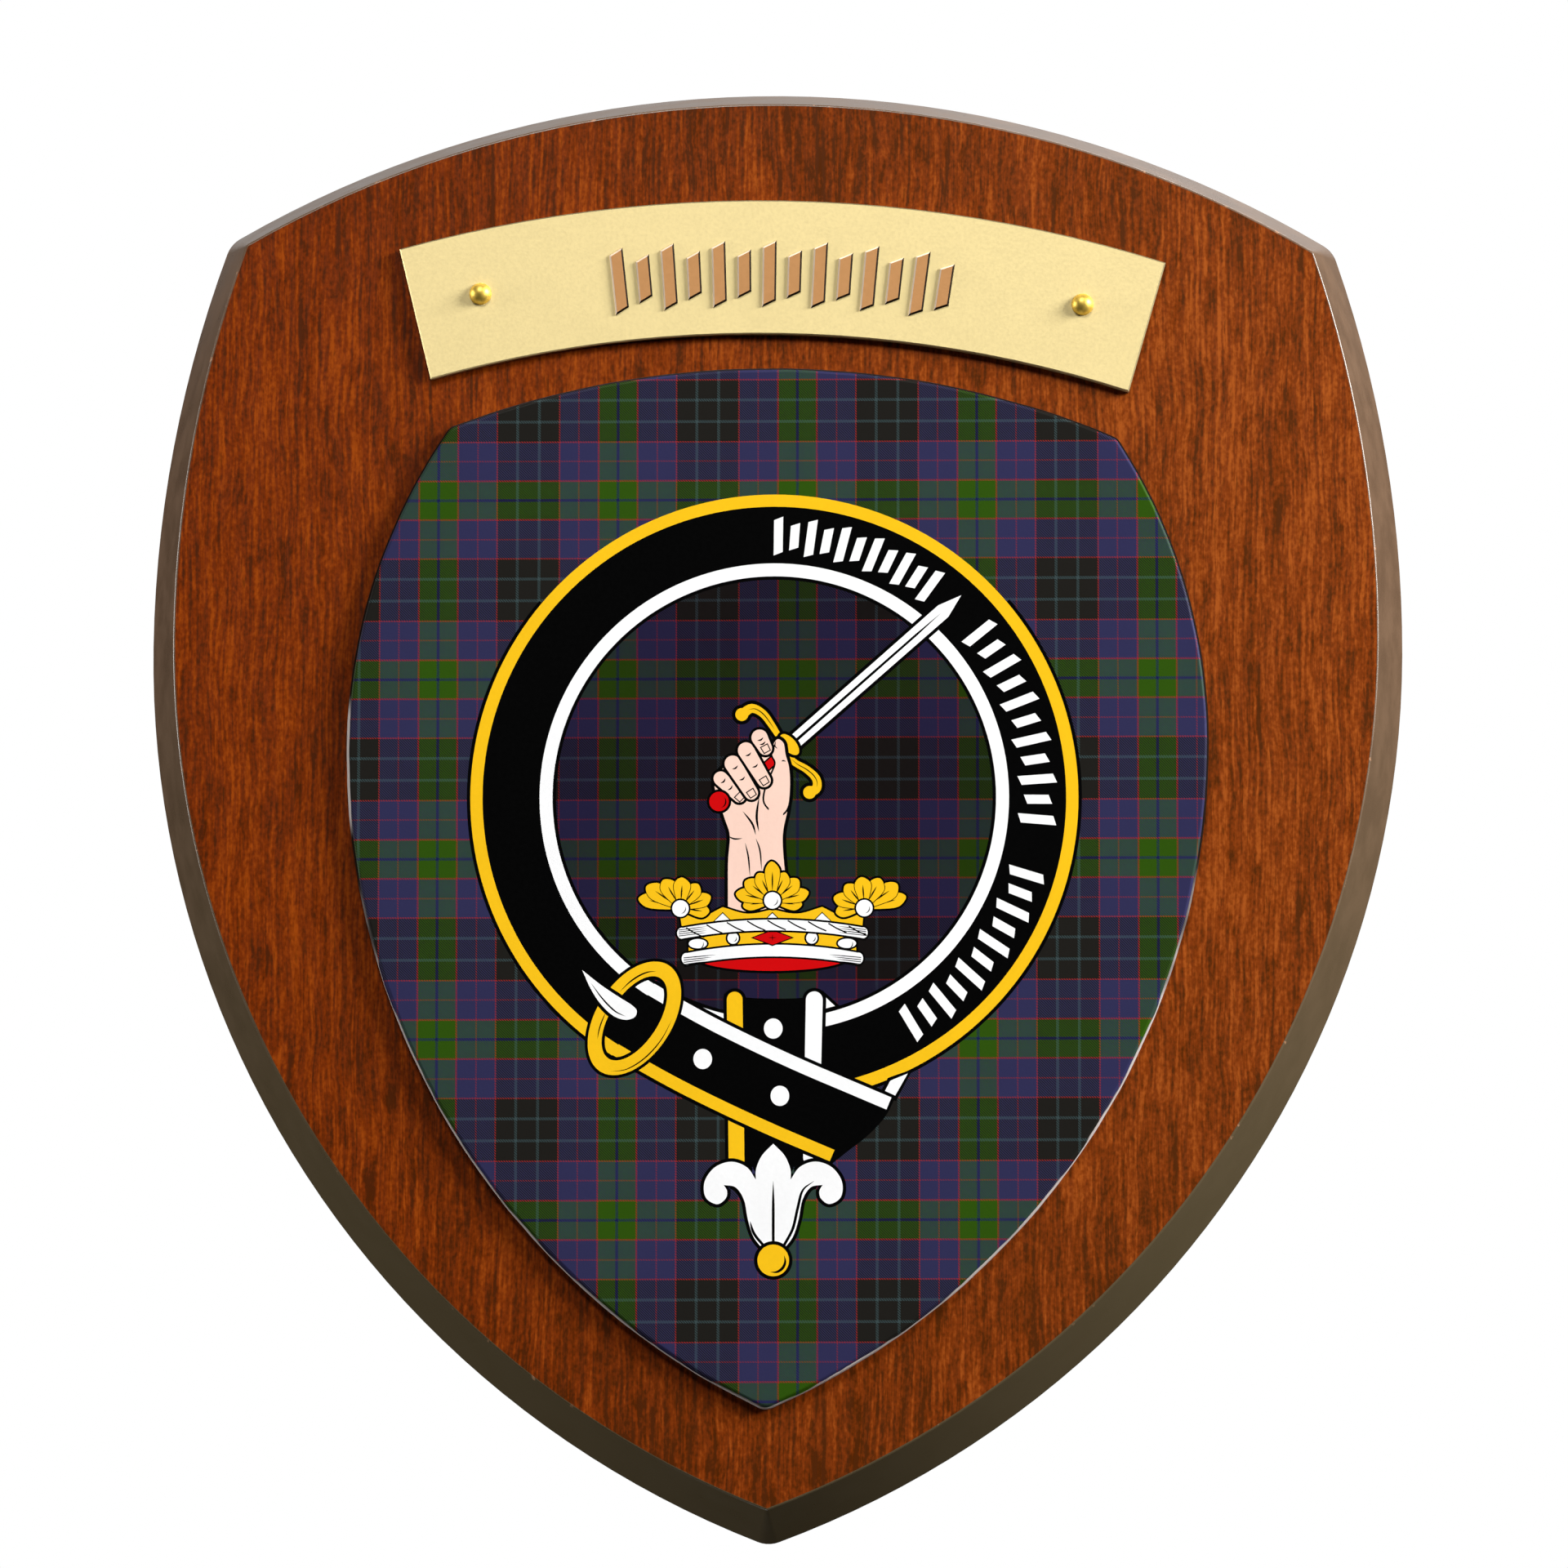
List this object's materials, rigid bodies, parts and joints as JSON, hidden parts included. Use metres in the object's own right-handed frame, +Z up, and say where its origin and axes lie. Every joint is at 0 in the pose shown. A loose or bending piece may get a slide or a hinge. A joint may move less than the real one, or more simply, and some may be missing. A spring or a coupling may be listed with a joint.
{
  "type": "wooden heraldic shield plaque",
  "caption": "Veneered wooden shield plaque with a printed tartan shield plate and an arched brass nameplate on domed pins, hung by a keyhole slot in its back.",
  "frame": {"origin": "the point of the keyhole slot that rests on the wall's screw, on the plane of the back", "axes": "+Z up, +Y out of the back towards the wall, +X to the viewer's right; the front faces -Y"},
  "size_m": [0.1526, 0.0142, 0.178],
  "materials": {
    "board_wood": "reddish veneer under satin lacquer, edge painted dark brown",
    "plate_print": "satin tartan print, pale cut edge",
    "nameplate_brass": "pale satin brass with bronze-coloured raised strokes",
    "pin_brass": "polished"
  },
  "bodies": {
    "root": {"shield_board": "board_wood", "tartan_plate": "plate_print", "nameplate": "nameplate_brass", "pin_left": "pin_brass", "pin_right": "pin_brass"}
  },
  "joints": []
}
